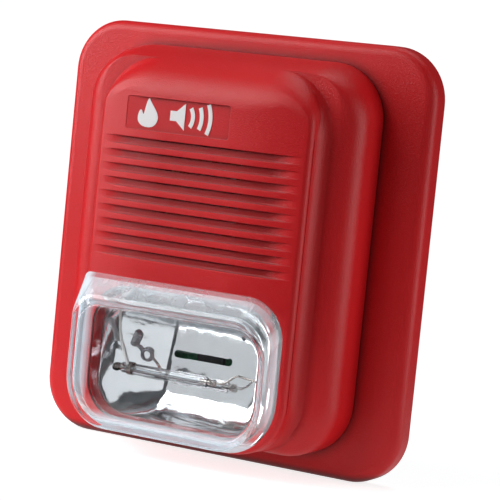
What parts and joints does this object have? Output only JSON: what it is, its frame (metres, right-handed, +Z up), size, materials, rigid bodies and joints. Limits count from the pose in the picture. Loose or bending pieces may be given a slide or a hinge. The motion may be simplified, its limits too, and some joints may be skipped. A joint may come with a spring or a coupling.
{
  "type": "wall fire alarm sounder with strobe",
  "caption": "Red wall-mounted fire alarm sounder with grooved dome cover, clear strobe lens over a chromed reflector, and a hinged front unit on a hollow back frame.",
  "frame": {"origin": "centre of the back face, on the wall plane", "axes": "+X to the right seen from the front, +Z up, +Y into the wall, so the unit faces -Y"},
  "size_m": [0.1438, 0.0486, 0.15],
  "materials": {
    "red_frame": "satin",
    "plate_plastic": "matte",
    "frame_screw_steel": "satin",
    "grommet_rubber": "matte",
    "red_cover": "satin",
    "gasket_rubber": "matte",
    "label_ink": "matte",
    "lens_clear": "gloss",
    "reflector_chrome": "mirror",
    "reflector_screw_steel": "satin",
    "tube_glass": "gloss",
    "electrode_metal": "satin",
    "sleeve_white": "matte",
    "trigger_wire_white": "satin",
    "board_green": "gloss",
    "board_screw_steel": "satin",
    "terminal_green": "satin",
    "terminal_screw_steel": "satin",
    "switch_blue": "satin",
    "slider_white": "satin",
    "capacitor_sleeve": "gloss",
    "transformer_yellow": "satin",
    "inductor_ferrite": "matte",
    "chip_black": "matte",
    "component_tan": "satin",
    "sounder_black": "matte",
    "sounder_ring_black": "matte",
    "disc_brass": "satin",
    "ceramic_white": "matte",
    "lead_red": "satin",
    "lock_plate_steel": "satin",
    "lock_screw_steel": "satin",
    "lock_ring_nylon": "matte"
  },
  "bodies": {
    "wall_base": {"outer_frame": "red_frame", "back_plate": "plate_plastic", "frame_screws": "frame_screw_steel", "cable_grommet": "grommet_rubber"},
    "front_unit": {"front_cover": "red_cover", "cover_gasket": "gasket_rubber", "label_symbol": "label_ink", "strobe_lens": "lens_clear", "reflector": "reflector_chrome", "reflector_screws": "reflector_screw_steel", "flash_tube_glass": "tube_glass", "flash_tube_electrodes": "electrode_metal", "tube_lead_sleeves": "sleeve_white", "trigger_wire": "trigger_wire_white", "main_board": "board_green", "board_screws": "board_screw_steel", "terminal_block": "terminal_green", "terminal_screws": "terminal_screw_steel", "dip_switch_body": "switch_blue", "storage_capacitor": "capacitor_sleeve", "trigger_transformer": "transformer_yellow", "boost_inductor": "inductor_ferrite", "control_chips": "chip_black", "small_components": "component_tan", "sounder_housing": "sounder_black", "sounder_ring": "sounder_ring_black", "piezo_disc": "disc_brass", "piezo_ceramic": "ceramic_white", "sounder_leads": "lead_red", "lock_nut": "lock_plate_steel"},
    "dip_1": {"dip_slider_1": "slider_white"},
    "dip_2": {"dip_slider_2": "slider_white"},
    "dip_3": {"dip_slider_3": "slider_white"},
    "dip_4": {"dip_slider_4": "slider_white"},
    "screw_ring": {"lock_screw_ring": "lock_ring_nylon"},
    "lock_screw_body": {"lock_screw": "lock_screw_steel"}
  },
  "joints": [
    {"name": "cover_swing", "type": "hinge", "parent": "wall_base", "child": "front_unit", "pos_m": [0, -0.0087, 0.06765], "axis": [-1, 0, 0], "range_deg": [0, 70]},
    {"name": "lock_screw_travel", "type": "slide", "parent": "front_unit", "child": "screw_ring", "axis": [0, 0, -1], "range_m": [0, 0.003]},
    {"name": "lock_screw_turn", "type": "hinge", "parent": "screw_ring", "child": "lock_screw_body", "pos_m": [0, -0.0128, -0.0625], "axis": [0, 0, -1], "range_deg": [-2160, 0]},
    {"name": "dip_slide_1", "type": "slide", "parent": "front_unit", "child": "dip_1", "axis": [0, 0, 1], "range_m": [0, 0.0012]},
    {"name": "dip_slide_2", "type": "slide", "parent": "front_unit", "child": "dip_2", "axis": [0, 0, 1], "range_m": [0, 0.0012]},
    {"name": "dip_slide_3", "type": "slide", "parent": "front_unit", "child": "dip_3", "axis": [0, 0, 1], "range_m": [0, 0.0012]},
    {"name": "dip_slide_4", "type": "slide", "parent": "front_unit", "child": "dip_4", "axis": [0, 0, 1], "range_m": [0, 0.0012]}
  ],
  "couplings": [
    {"joint": "lock_screw_turn", "follows": "lock_screw_travel", "rad_per_m": -12566}
  ]
}
